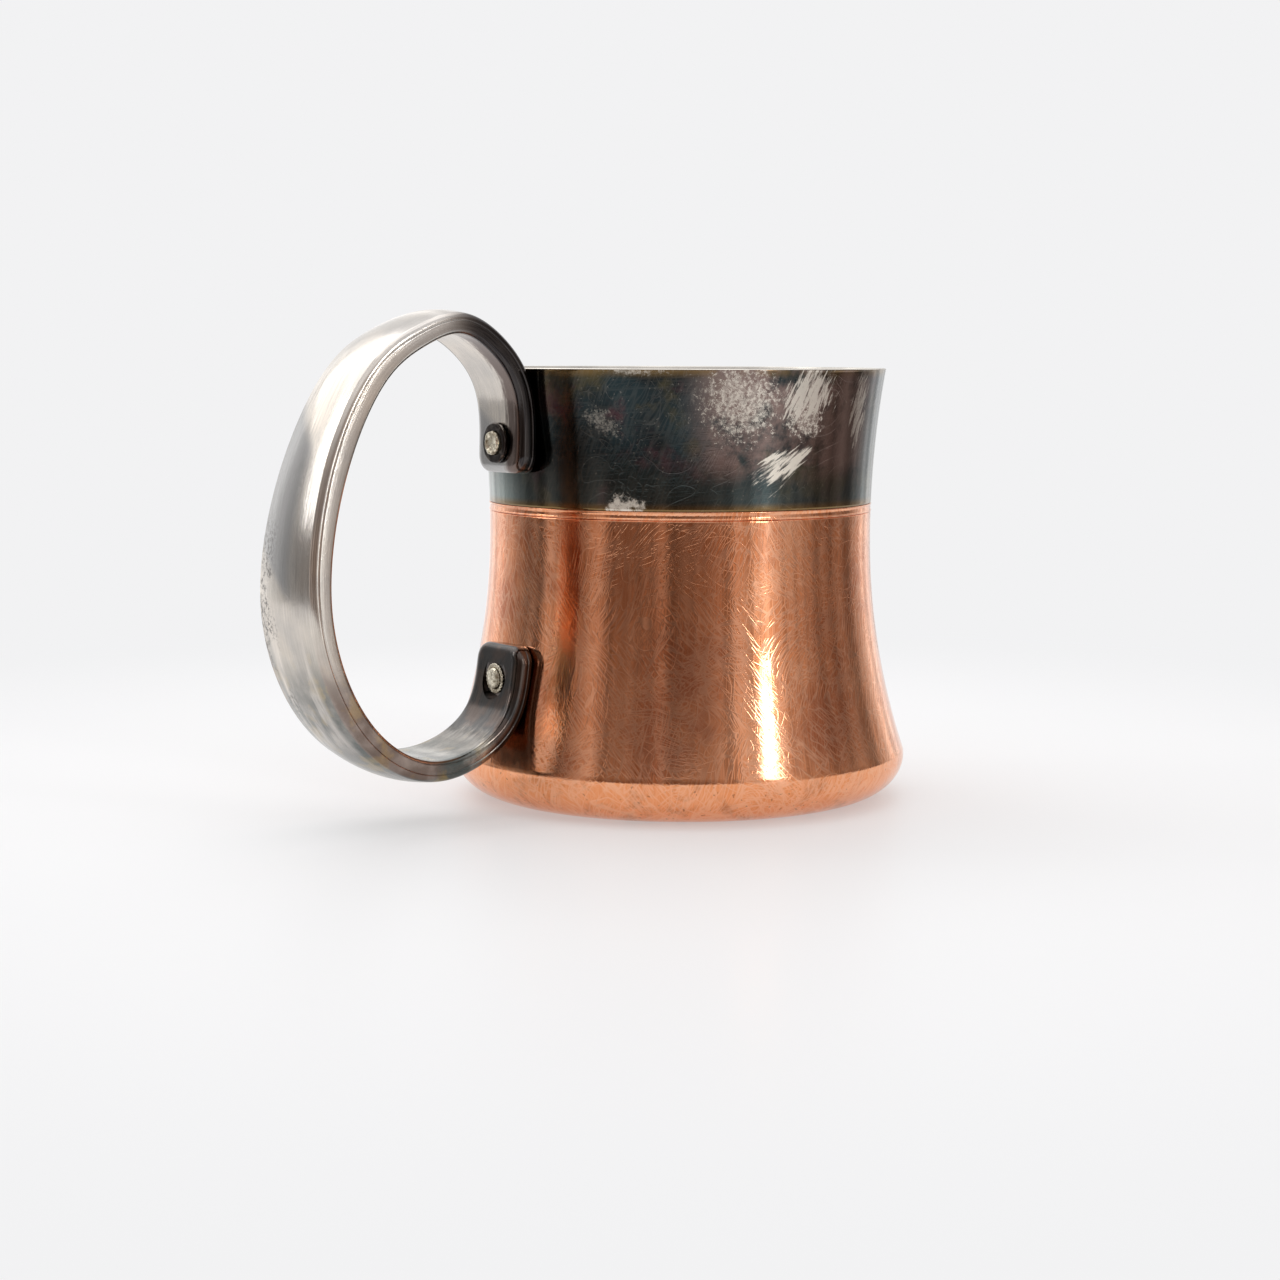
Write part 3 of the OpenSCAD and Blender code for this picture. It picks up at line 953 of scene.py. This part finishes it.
@dataclass
class Body:
    """Copper jacket, joint ring, silver cup and the closed base, in millimetres."""

    finishes: Finishes
    wall: Wall = Wall()
    foot_ring: float = 34.2
    foot_height: float = 8.3
    foot_turn: float = 0.8
    foot_swell: float = 0.05
    flange_radius: float = 30.0
    flange_edge: float = 0.1
    jacket_wall: float = 1.1
    jacket_edge: float = 0.25
    cup_wall: float = 1.2
    joint: float = 57.6
    joint_play: float = 0.03
    ring_height: float = 1.6
    ring_bead: float = 0.16
    ring_stand: float = 0.15
    ring_depth: float = 0.13
    rim: float = 83.6
    rim_round: float = 0.35
    band_edge: float = 0.12
    cup_radius: float = 35.8
    cup_shoulder: float = 2.4
    cup_neck: float = 6.0
    floor_radius: float = 34.6
    floor_height: float = 9.0
    corner: float = 7.0

    def foot(self, inset: float, steps: int) -> list[Point]:
        """Return the rounded foot, from the flat ring below up to the skirt.

        Args:
            inset: distance to draw it in, in millimetres.
            steps: number of steps.

        Returns:
            Radius and height of each point in millimetres.
        """
        run = self.wall.radius(self.foot_height + self.foot_turn) + self.foot_swell - self.foot_ring
        turns = [math.radians(90 * i / steps) for i in range(steps + 1)]
        return [(self.foot_ring + (run - inset) * math.sin(t),
                 self.foot_height - (self.foot_height - inset) * math.cos(t)) for t in turns]

    def jacket(self) -> bpy.types.Object:
        """Build the spun jacket with its rounded foot and turned-in base flange.

        Returns:
            The jacket's piece.
        """
        skirt = self.foot_height + self.foot_turn
        top = self.joint - self.ring_height - self.joint_play
        mouth = self.wall.radius(top)
        lip = [(mouth - 0.07, top - 0.07), (mouth - self.jacket_edge, top)]
        flange = [(self.flange_radius, self.jacket_wall), (self.flange_radius, self.flange_edge),
                  (self.flange_radius + self.flange_edge, 0.0)]
        outline = self.foot(0.0, 28) + self.wall.run(skirt, top - self.jacket_edge, 0.0, 110) + lip
        outline += self.wall.run(top, skirt, self.jacket_wall, 40)
        outline += self.foot(self.jacket_wall, 20)[::-1] + flange
        piece = lathe("copper_jacket_skin", outline, [self.finishes.get(Finish.COPPER)])
        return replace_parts(piece, "copper_jacket")

    def ring(self) -> bpy.types.Object:
        """Build the joint ring: a flat copper moulding with a raised bright bead at each edge.

        Returns:
            The ring's piece.
        """
        bead = self.ring_bead
        outer = self.wall.waist_radius + self.ring_stand
        flat = outer - self.ring_depth
        inner = self.cup_radius + 0.05
        low = self.joint - self.ring_height
        high = self.joint - self.joint_play
        outline = [(inner, low)] + arc((outer - bead, low + bead), bead, -90, 60, 8)
        outline += [(flat, low + 0.42), (flat, high - 0.42)]
        outline += arc((outer - bead, high - bead), bead, -60, 90, 8) + [(inner, high)]
        piece = lathe("joint_ring_bead", outline, [self.finishes.get(Finish.COPPER)])
        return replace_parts(piece, "joint_ring")

    def cup(self) -> bpy.types.Object:
        """Build the cup: tarnished band outside, rounded rim, washed lining inside.

        Returns:
            The cup's piece.
        """
        wall, edge = self.cup_wall, self.rim_round
        bend = (self.floor_radius - self.corner, self.floor_height + self.corner)
        neck = self.joint - self.ring_height - self.cup_neck
        mouth = self.wall.radius(self.rim)
        outline = [(0.0, self.floor_height)] + arc(bend, self.corner, -90, 0, 16)
        outline += [(self.cup_radius, neck), (self.cup_radius, self.joint - 0.01)]
        outline += [(self.wall.radius(self.joint) - self.band_edge, self.joint)]
        outline += self.wall.run(self.joint + self.band_edge, self.rim - edge, 0.0, 80)
        outline += arc((mouth - edge, self.rim - edge), edge, 15, 90, 6)
        outline += arc((mouth - wall + edge, self.rim - edge), edge, 90, 170, 6)
        outline += self.wall.run(self.rim - edge, self.joint + self.cup_shoulder, wall, 60)
        outline += [(self.cup_radius - wall, self.joint), (self.cup_radius - wall, neck)]
        outline += arc(bend, self.corner - wall, 0, -90, 16) + [(0.0, self.floor_height + wall)]
        piece = lathe("silver_cup_skin", outline,
                      [self.finishes.get(Finish.BAND), self.finishes.get(Finish.LINING)])
        self.line_inside(piece)
        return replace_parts(piece, "silver_cup")

    def line_inside(self, piece: bpy.types.Object) -> None:
        """Give the outside of the cup the first material and the rim and inside the second.

        Args:
            piece: the cup.
        """
        margin = 0.2 * MM
        for face in piece.data.polygons:
            reach = sum(piece.data.vertices[v].co.xy.length for v in face.vertices)
            height = face.center.z
            shell = self.wall.radius(height / MM) * MM - margin
            outside = reach / len(face.vertices) > shell and height < self.rim * MM - margin
            face.material_index = 0 if outside else 1

    def dress_base(self) -> list[bpy.types.Object]:
        """Give the base disc and the hidden seams their metals.

        Returns:
            The dressed nodes.
        """
        metals = {"base_disc": Finish.FACED_COPPER, "base_solder": Finish.SOLDER,
                  "joint_solder": Finish.SOLDER}
        return [dress(node, self.finishes.get(finish)) for node, finish in metals.items()]


@dataclass
class Handle:
    """The riveted strap. Guide rows are out from the axis, height, share of widening, thickness."""

    finishes: Finishes
    wall: Wall = Wall()
    guides: tuple[tuple[float, float, float, float], ...] = (
        (40.4, 64.0, 0.0, 4.1), (39.5, 80.0, 0.0, 4.0), (46.5, 88.5, 0.05, 3.9),
        (54.5, 93.0, 0.1, 3.9), (63.0, 89.5, 0.15, 4.0), (71.0, 85.0, 0.15, 4.5),
        (78.0, 74.0, 0.2, 4.8), (83.5, 59.0, 0.5, 4.5), (86.0, 41.5, 0.85, 4.1),
        (82.0, 26.0, 1.0, 3.9), (74.0, 15.0, 0.9, 4.0), (63.0, 9.5, 0.55, 4.0),
        (52.0, 11.0, 0.15, 3.8), (41.8, 18.0, 0.0, 3.7), (40.6, 31.8, 0.0, 3.7),
    )
    end_half_width: float = 7.7
    grip_half_width: float = 11.2
    crown: float = 0.9
    end_radius: float = 3.5
    edge_round: float = 1.5
    edge_depth: float = 1.25
    grip_round: float = 0.8
    tip_round: float = 2.0
    tip_depth: float = 1.3
    tip_share: float = 0.18
    steps: int = 30
    end_steps: int = 44
    filed_from: float = 17.0
    filed_to: float = 84.5
    filed_play: float = 0.06
    wall_top: float = 84.0
    spot_face: float = 42.8
    spot_radius: float = 3.9
    spot_height: float = 25.4
    crease_angle: float = 38.0

    def stations(self) -> list[tuple[Vector, Vector, float]]:
        """Follow a smooth curve through the guide rows, with closer steps at both ends.

        Returns:
            Centre values, direction and share along the strap at each station.
        """
        rows = [Vector(row) for row in self.guides]
        rows = [2 * rows[0] - rows[1]] + rows + [2 * rows[-1] - rows[-2]]
        spans = len(self.guides) - 1
        ends = self.end_steps
        marks: list[tuple[int, float]] = [(0, (k / ends) ** 2) for k in range(ends)]
        marks += [(s, k / self.steps) for s in range(1, spans - 1) for k in range(self.steps)]
        marks += [(spans - 1, 1 - (1 - k / ends) ** 2) for k in range(ends + 1)]
        found = []
        for span, t in marks:
            weights = ((1 - t) ** 3 / 6, (3 * t**3 - 6 * t**2 + 4) / 6,
                       (-3 * t**3 + 3 * t**2 + 3 * t + 1) / 6, t**3 / 6)
            slopes = (-((1 - t) ** 2) / 2, (3 * t**2 - 4 * t) / 2,
                      (-3 * t**2 + 2 * t + 1) / 2, t**2 / 2)
            centre = sum((w * rows[span + i] for i, w in enumerate(weights)), Vector((0,) * 4))
            heading = sum((w * rows[span + i] for i, w in enumerate(slopes)), Vector((0,) * 4))
            found.append((centre, Vector((heading[0], heading[1])).normalized(), (span + t) / spans))
        return found

    def section(self, centre: Vector, away: float, share: float) -> list[Point]:
        """Return the strap's cross-section as across and outward, in millimetres.

        Args:
            centre: guide values at this station.
            away: distance to the nearer end of the strap.
            share: place along the strap from 0 to 1.

        Returns:
            Closed outline, from the inner face's far edge round to its near edge.
        """
        half = centre[3] / 2
        width = self.end_half_width + (self.grip_half_width - self.end_half_width) * centre[2]
        if away < self.end_radius:
            width -= self.end_radius - math.sqrt(self.end_radius**2 - (self.end_radius - away) ** 2)
        tip = max(0.0, 1 - min(share, 1 - share) / self.tip_share)
        bevel = self.grip_round + (self.tip_round - self.grip_round) * tip
        depth = self.grip_round + (self.tip_depth - self.grip_round) * tip
        # The strap's end rolls over like its edges do.
        roll = 1 - math.sqrt(max(0.0, 1 - (1 - min(away / bevel, 1.0)) ** 2))
        inner = -half + 0.9 * depth * roll
        crown = self.crown * smooth_step((centre[0] - 32) / 42)
        flat = width - self.edge_round
        side = []
        for i in range(9):
            turn = math.radians(90 * i / 8)
            side.append((width - bevel + bevel * math.sin(turn),
                         min(inner, depth - half) + (depth - half - inner) * (1 - math.cos(turn))))
        groove = half - self.edge_depth
        # A fine filed line runs along each edge, under the rounding of the outer face.
        side += [(width, groove - 0.42), (width - 0.02, groove - 0.32), (width - 0.1, groove - 0.22),
                 (width - 0.02, groove - 0.12)]
        side += [(flat + self.edge_round * math.cos(math.radians(10 * i)),
                  groove + self.edge_depth * math.sin(math.radians(10 * i))) for i in range(9)]
        crest = [(flat * x, half + crown * (1 - x * x)) for x in (0.94, 0.85, 0.7, 0.5, 0.25)]
        right = side + crest
        left = [(-a, b) for a, b in reversed(right)]
        floor = [((width - bevel) * (i / 14 - 1), inner) for i in range(1, 28)]
        return right + [(0.0, half + crown)] + left + floor

    def filed(self, place: Vector) -> Vector:
        """Push a point of the strap's ends out to the wall that they are filed to fit.

        Args:
            place: the point in millimetres.

        Returns:
            The point, moved where it would lie inside the wall.
        """
        limit = self.wall.radius(min(place.z, self.wall_top)) + self.filed_play
        near_wall = self.filed_from < place.z < self.filed_to
        if near_wall and math.hypot(place.x, place.y) < limit:
            place.x = math.sqrt(max(limit * limit - place.y * place.y, 0.0))
        return place

    def skin(self) -> tuple[list[Vector], list[Point], int]:
        """Sweep the section along the strap.

        Returns:
            The points, the girth and length at each of them, both in metres, and the number of
            points in a section.
        """
        tips = [Vector(row[:2]) for row in (self.guides[0], self.guides[-1])]
        points: list[Vector] = []
        places: list[Point] = []
        length = 0.0
        last = None
        for centre, heading, share in self.stations():
            here = Vector((centre[0], centre[1]))
            length += (here - last).length if last is not None else 0.0
            last = here
            out = Vector((-heading[1], heading[0]))
            outline = self.section(centre, min((here - tip).length for tip in tips), share)
            girth = 0.0
            before = outline[0]
            for across, outward in outline:
                girth += math.dist(before, (across, outward))
                before = (across, outward)
                place = Vector((centre[0] + outward * out[0], across, centre[1] + outward * out[1]))
                points.append(self.filed(place) * MM)
                places.append((girth * MM, length * MM))
        return points, places, len(outline)

    def unwrap(self, piece: bpy.types.Object, places: Sequence[Point], size: int) -> None:
        """Lay the strap's girth and length out flat for the brushing lines.

        Args:
            piece: the strap.
            places: girth and length at each vertex in metres.
            size: number of points in a section.
        """
        layer = piece.data.uv_layers.new(name="strap")
        whole = places[size - 1][0] + 1 * MM
        half = 20 * MM
        for face in piece.data.polygons:
            girths = [places[v][0] for v in face.vertices]
            closing = max(girths) - min(girths) > half
            for loop, vertex, girth in zip(face.loop_indices, face.vertices, girths):
                lapped = whole if closing and girth < half else girth
                layer.data[loop].uv = (lapped, places[vertex][1])

    def build(self) -> bpy.types.Object:
        """Build the strap with its lower spot face.

        Returns:
            The strap's piece.
        """
        points, places, size = self.skin()
        faces = []
        for a in range(0, len(points) - size, size):
            for j in range(size):
                k = (j + 1) % size
                faces.append((a + j, a + k, a + size + k, a + size + j))
        faces.append(tuple(range(size - 1, -1, -1)))
        faces.append(tuple(range(len(points) - size, len(points))))
        piece = new_piece("handle_strap_skin", points, faces, [self.finishes.get(Finish.STRAP)])
        self.unwrap(piece, places, size)
        self.cut_spot_face(piece)
        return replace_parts(piece, "handle_strap")

    def cut_spot_face(self, piece: bpy.types.Object) -> None:
        """Cut the shallow round seat for the lower washer.

        Args:
            piece: the strap.
        """
        clear = self.spot_face + 6
        outline = [(0.0, self.spot_face), (self.spot_radius, self.spot_face),
                   (self.spot_radius, clear), (0.0, clear)]
        cutter = laid_along_x(lathe("spot_face_cutter", outline, [], 96), self.spot_height * MM)
        modifier = piece.modifiers.new("spot face", "BOOLEAN")
        modifier.operation = "DIFFERENCE"
        modifier.solver = "EXACT"
        modifier.object = cutter
        depsgraph = bpy.context.evaluated_depsgraph_get()
        cut = bpy.data.meshes.new_from_object(piece.evaluated_get(depsgraph))
        piece.modifiers.clear()
        piece.data = cut
        bpy.data.objects.remove(cutter)
        cut.set_sharp_from_angle(angle=math.radians(self.crease_angle))


@dataclass
class Rivets:
    """Both rivets with their washers, each laid along the handle's direction."""

    finishes: Finishes
    wall: Wall = Wall()
    cup_wall: float = 1.2
    jacket_wall: float = 1.1
    inner_washer: float = 0.9
    head: float = 1.2
    head_seat: float = 1.17
    head_radius: float = 3.2
    shank: float = 2.0
    upper: float = 69.6
    lower: float = 25.4
    upper_seat: float = 42.45
    lower_seat: float = 42.8
    seat_play: float = 0.03
    crease_angle: float = 50.0

    def turned(
        self, name: str, outline: Sequence[Point], height: float, finish: Finish,
        ragged: float = 0.0, segments: int = 72,
    ) -> bpy.types.Object:
        """Turn a small part, roughen its rim and lay it along X.

        Args:
            name: the piece's name.
            outline: closed outline in millimetres, radius and distance from the mug's axis.
            height: height of its axis in millimetres.
            finish: its finish.
            ragged: depth of the hand-made unevenness in millimetres.
            segments: steps round the axis.

        Returns:
            The piece.
        """
        piece = lathe(name, outline, [self.finishes.get(finish)], segments)
        for vertex in piece.data.vertices:
            co = vertex.co
            jitter = noise.noise(Vector((co.x, co.y, co.z)) * 1100 + Vector((height, 0, 0)))
            scale = 1 + ragged * MM * jitter / max(co.xy.length, 1 * MM)
            vertex.co = Vector((co.x * scale, co.y * scale, co.z + 0.4 * ragged * MM * jitter))
        laid_along_x(piece, height * MM)
        piece.data.set_sharp_from_angle(angle=math.radians(self.crease_angle))
        return piece

    def upper_rivet(self) -> bpy.types.Object:
        """Build the upper rivet: a cut stub, peened over with a ragged lip and dished end.

        Returns:
            The rivet's piece.
        """
        start = self.wall.radius(self.upper) - self.cup_wall - self.inner_washer - self.head
        seat = start + self.head_seat
        front = self.upper_seat + 0.84
        outline = [(0.0, start), (1.2, start + 0.03), (2.1, start + 0.2), (2.8, start + 0.55),
                   (self.head_radius, start + 0.95), (self.head_radius, seat),
                   (self.shank, seat), (self.shank, front),
                   (2.12, front + 0.02), (2.1, front + 0.12), (2.2, front + 0.2),
                   (2.08, front + 0.28), (2.2, front + 0.38), (2.16, front + 0.5),
                   (1.95, front + 0.58), (1.72, front + 0.56), (1.5, front + 0.42),
                   (1.1, front + 0.34), (0.5, front + 0.3), (0.0, front + 0.3)]
        piece = self.turned("upper_rivet_stub", outline, self.upper, Finish.BRASS, 0.2)
        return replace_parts(piece, "upper_rivet")

    def lower_rivet(self) -> bpy.types.Object:
        """Build the lower rivet: hammered to a low smooth dome.

        Returns:
            The rivet's piece.
        """
        start = self.wall.radius(self.lower) - self.jacket_wall - self.inner_washer - self.head
        seat = start + self.head_seat
        front = self.lower_seat + 0.44
        outline = [(0.0, start), (1.9, start + 0.05), (3.1, start + 0.7), (self.head_radius, seat),
                   (self.shank, seat), (self.shank, front - 0.3), (1.95, front), (1.98, front + 0.08),
                   (1.9, front + 0.2), (1.6, front + 0.33), (1.2, front + 0.41),
                   (0.7, front + 0.46), (0.0, front + 0.48)]
        piece = self.turned("lower_rivet_dome", outline, self.lower, Finish.BRASS, 0.06)
        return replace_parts(piece, "lower_rivet")

    def upper_washer(self) -> bpy.types.Object:
        """Build the raised dark washer with a softened edge.

        Returns:
            The washer's piece.
        """
        back = self.upper_seat + self.seat_play
        outline = [(2.05, back), (3.72, back), (3.78, back + 0.1), (3.78, back + 0.5)]
        outline += arc((3.5, back + 0.5), 0.28, 0, 90, 6)
        outline += [(2.7, back + 0.79), (2.3, back + 0.75), (2.05, back + 0.66)]
        piece = self.turned("upper_outer_washer_ring", outline, self.upper, Finish.WASHER, 0.06)
        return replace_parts(piece, "upper_outer_washer")

    def rope_washer(self) -> bpy.types.Object:
        """Build the lower washer, its face hammered into a rope of small twisted beads.

        Returns:
            The washer's piece.
        """
        back = self.lower_seat + self.seat_play
        steps, sides, beads = 192, 14, 24
        points, faces = [], []
        middle, thick = 2.44, 0.19
        for i in range(steps):
            turn = 2 * math.pi * i / steps
            for j in range(sides):
                roll = 2 * math.pi * j / sides
                swell = 1 + 0.16 * math.cos(beads * turn + 2 * roll)
                r = middle + 2.2 * thick * math.cos(roll) * swell
                out = back + thick + thick * math.sin(roll) * swell * 0.95
                points.append((r * math.cos(turn) * MM, r * math.sin(turn) * MM, out * MM))
                a, b = i * sides + j, i * sides + (j + 1) % sides
                step = ((i + 1) % steps) * sides
                faces.append((a, step + j, step + (j + 1) % sides, b))
        piece = new_piece("lower_rope_washer_ring", points, faces, [self.finishes.get(Finish.BRASS)])
        laid_along_x(piece, self.lower * MM)
        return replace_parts(piece, "lower_rope_washer")

    def dress_inner(self) -> list[bpy.types.Object]:
        """Give the inner washers their finish and return them."""
        nodes = ("upper_inner_washer", "lower_inner_washer")
        return [dress(node, self.finishes.get(Finish.LINING)) for node in nodes]


# ---------------------------------------------------------------- studio


@dataclass(frozen=True)
class Studio:
    """Pale table, white tent with a darker camera side, soft lamps and the camera."""

    azimuth: float = 53.7
    distance: float = 501.6
    height: float = 86.85
    pitch: float = 6.474
    yaw: float = -0.886
    roll: float = 0.228
    lens: float = 71.78
    table: str = "#F2F2F2"
    backdrop: str = "#F2F2F3"
    # Tent round the mug: angle from the camera towards its right, brightness and warmth.
    tent: tuple[tuple[float, float, float], ...] = (
        (-180, 0.95, 0.0), (-150, 1.2, 0.0), (-132, 0.98, 0.0), (-115, 0.5, 0.0),
        (-102, 0.26, 0.1), (-90, 0.2, 0.4), (-80, 0.55, 0.4), (-73, 0.28, 0.7),
        (-62, 0.14, 1.0), (-50, 0.5, 0.6), (-41, 0.2, 1.0), (-24, 0.15, 1.0), (-12, 0.3, 1.0),
        (-4, 0.13, 1.0), (8, 0.18, 1.0), (24, 0.36, 0.7), (37, 0.62, 0.3), (45, 0.8, 0.0),
        (49, 1.35, 0.0), (54, 1.1, 0.0), (59, 0.6, 0.2), (76, 0.5, 0.4), (86, 0.2, 0.7),
        (93, 0.36, 0.6), (98, 0.17, 0.8), (110, 0.36, 0.5), (116, 0.15, 0.7), (128, 0.5, 0.2),
        (142, 1.0, 0.0), (180, 0.95, 0.0),
    )
    table_reach: float = 0.36

    def camera(self) -> bpy.types.Object:
        """Create the camera and make it the scene's own.

        Returns:
            The camera.
        """
        data = bpy.data.cameras.new("camera")
        data.lens = self.lens
        data.sensor_width = 36.0
        data.clip_start = 0.01
        data.clip_end = 200.0
        camera = bpy.data.objects.new("camera", data)
        around = math.radians(self.azimuth)
        heading = math.radians(self.azimuth + 180 - self.yaw)
        tilt = math.radians(self.pitch)
        ahead = Vector((math.cos(heading) * math.cos(tilt), math.sin(heading) * math.cos(tilt),
                        -math.sin(tilt)))
        right = Vector((math.sin(heading), -math.cos(heading), 0))
        up = right.cross(ahead)
        lean = math.radians(self.roll)
        side = math.cos(lean) * right + math.sin(lean) * up
        top = -math.sin(lean) * right + math.cos(lean) * up
        place = Vector((self.distance * math.cos(around), self.distance * math.sin(around),
                        self.height)) * MM
        turn = Matrix((side, top, -ahead)).transposed().to_4x4()
        camera.matrix_world = Matrix.Translation(place) @ turn
        bpy.context.scene.collection.objects.link(camera)
        bpy.context.scene.camera = camera
        return camera

    def direction(self, angle: float, rise: float) -> Vector:
        """Return a unit vector at an angle from the camera and a rise above the table.

        Args:
            angle: degrees from the camera towards its right.
            rise: degrees above the table.

        Returns:
            The direction away from the mug.
        """
        turn = math.radians(self.azimuth + angle)
        lift = math.radians(rise)
        return Vector((math.cos(turn) * math.cos(lift), math.sin(turn) * math.cos(lift),
                       math.sin(lift)))

    def lamp(
        self, name: str, angle: float, rise: float, reach: float, size: Point, power: float,
    ) -> bpy.types.Object:
        """Hang one soft lamp that faces the mug.

        Args:
            name: the lamp's name.
            angle: degrees from the camera towards its right.
            rise: degrees above the table.
            reach: distance from the mug in metres.
            size: width and height in metres.
            power: watts.

        Returns:
            The lamp.
        """
        data = bpy.data.lights.new(name, "AREA")
        data.shape = "RECTANGLE"
        data.size, data.size_y = size
        data.energy = power
        lamp = bpy.data.objects.new(name, data)
        middle = Vector((0, 0, 0.045))
        way = self.direction(angle, rise)
        lamp.location = middle + way * reach
        lamp.rotation_euler = way.to_track_quat("Z", "Y").to_euler()
        bpy.context.scene.collection.objects.link(lamp)
        return lamp

    def strips(
        self, tree: bpy.types.NodeTree, way: bpy.types.Node,
    ) -> tuple[bpy.types.NodeSocket, bpy.types.NodeSocket]:
        """Paint the tent's upright strips of light and dark.

        Args:
            tree: the world's node tree.
            way: node that splits the direction looked in.

        Returns:
            Share of the turn round the mug, and the strips' colour there.
        """
        turn = add(tree, "Math", {0: way.outputs["Y"], 1: way.outputs["X"]},
                   operation="ARCTAN2").outputs[0]
        shifted = add(tree, "Math", {0: turn, 1: math.radians(180 - self.azimuth)},
                      operation="ADD").outputs[0]
        wrapped = add(tree, "Math", {0: shifted, 1: 2 * math.pi}, operation="FLOORED_MODULO").outputs[0]
        share = add(tree, "Math", {0: wrapped, 1: 2 * math.pi}, operation="DIVIDE").outputs[0]
        ramp = add(tree, "ValToRGB", {0: share})
        elements = ramp.color_ramp.elements
        while len(elements) < len(self.tent):
            elements.new(0.5)
        for element, (angle, level, warmth) in zip(elements, self.tent):
            element.position = (angle + 180) / 360
            element.color = (level, level * (1 - 0.27 * warmth), level * (1 - 0.4 * warmth), 1.0)
        return share, ramp.outputs[0]

    def sky(self) -> None:
        """Paint the tent: structured for reflections, plain where the camera looks at it."""
        world = bpy.data.worlds.new("tent")
        bpy.context.scene.world = world
        world.use_nodes = True
        tree = world.node_tree
        tree.nodes.clear()
        way = add(tree, "SeparateXYZ", {0: add(tree, "TexCoord").outputs["Generated"]})
        share, strips = self.strips(tree, way)
        overhead = add(tree, "MapRange", {"Value": way.outputs["Z"], "From Min": 0.42,
                                          "From Max": 0.72},
                       interpolation_type="SMOOTHSTEP").outputs[0]
        haze = add(tree, "MapRange", {"Value": way.outputs["Z"], "From Max": 0.45,
                                      "To Max": 0.13}).outputs[0]
        misty = add(tree, "Mix", {"Factor": haze, 6: strips, 7: (1.0, 0.96, 0.94, 1.0)},
                    data_type="RGBA").outputs[2]
        walls = add(tree, "Mix", {"Factor": overhead, 6: misty, 7: (0.95, 0.95, 0.97, 1.0)},
                    data_type="RGBA").outputs[2]
        folds = add(tree, "TexNoise", {"W": share, "Scale": 58.0, "Detail": 2.0},
                    noise_dimensions="1D").outputs[0]
        hang = add(tree, "MapRange", {"Value": folds, "From Min": 0.3, "From Max": 0.7,
                                      "To Min": 0.62, "To Max": 1.38}).outputs[0]
        lit = add(tree, "Background", {0: walls, 1: hang}).outputs[0]
        plain = add(tree, "Background", {0: linear(self.backdrop), 1: 1.0}).outputs[0]
        seen = add(tree, "LightPath").outputs["Is Camera Ray"]
        both = add(tree, "MixShader", {0: seen, 1: lit, 2: plain}).outputs[0]
        add(tree, "OutputWorld", {0: both})

    def acrylic(self) -> bpy.types.Material:
        """Build the table's backlit acrylic, which melts into the backdrop at its edge.

        Returns:
            The table's material.
        """
        material = bpy.data.materials.new("backlit white acrylic table")
        material.use_nodes = True
        tree = material.node_tree
        tree.nodes.clear()
        point = add(tree, "TexCoord").outputs["Object"]
        haze = add(tree, "TexNoise", {"Vector": point, "Scale": 9.0, "Detail": 2.0}).outputs[0]
        rough = add(tree, "MapRange", {"Value": haze, "To Min": 0.4, "To Max": 0.48}).outputs[0]
        shader = add(tree, "BsdfPrincipled", {"Base Color": linear(self.table), "Roughness": rough,
                                              "IOR": 1.4}).outputs[0]
        paper = add(tree, "Emission", {0: linear(self.backdrop), 1: 1.0}).outputs[0]
        away = add(tree, "VectorMath", {0: point}, operation="LENGTH").outputs["Value"]
        fade = add(tree, "MapRange", {"Value": away, "From Min": 0.10,
                                      "From Max": 0.8 * self.table_reach, "To Min": 0.42},
                   interpolation_type="SMOOTHSTEP").outputs[0]
        mixed = add(tree, "MixShader", {0: fade, 1: shader, 2: paper}).outputs[0]
        add(tree, "OutputMaterial", {0: mixed})
        return material

    def floor(self) -> bpy.types.Object:
        """Lay the round table top just under the mug.

        Returns:
            The table.
        """
        sides = 96
        drop = 0.02 * MM
        turns = [2 * math.pi * k / sides for k in range(sides)]
        rim = [(self.table_reach * math.cos(t), self.table_reach * math.sin(t), -drop) for t in turns]
        table = new_piece("table_top", rim, [tuple(range(sides))], [self.acrylic()])
        return table

    def build(self) -> None:
        """Set up camera, tent, table and lamps."""
        self.camera()
        self.sky()
        self.floor()
        self.lamp("tall lamp right of the camera", 48.5, 21, 1.0, (0.11, 0.44), 1.25)
        self.lamp("broad lamp left", -120, 40, 1.4, (1.0, 1.0), 2.5)
        self.lamp("narrow lamp left", -92, 25, 1.0, (0.11, 0.50), 0.75)
        self.lamp("overhead lamp", -160, 72, 1.8, (1.9, 1.9), 7.8)
        bpy.context.scene.view_settings.view_transform = "Standard"
        bpy.context.scene.view_settings.look = "None"


def main() -> None:
    """Build every sub-assembly in order and report each piece."""
    logging.basicConfig(level=logging.INFO, format="%(name)s: %(message)s")
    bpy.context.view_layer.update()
    finishes = Finishes()
    body = Body(finishes)
    handle = Handle(finishes)
    rivets = Rivets(finishes)
    made = [body.jacket(), body.ring(), body.cup(), handle.build(), rivets.upper_rivet(),
            rivets.upper_washer(), rivets.lower_rivet(), rivets.rope_washer()]
    for piece in made:
        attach(piece, BODY)
        LOG.info("made %s", piece.name)
    for piece in body.dress_base() + rivets.dress_inner():
        LOG.info("dressed %s", piece.name)
    Studio().build()
    LOG.info("sizes written")


if __name__ == "__main__":
    main()
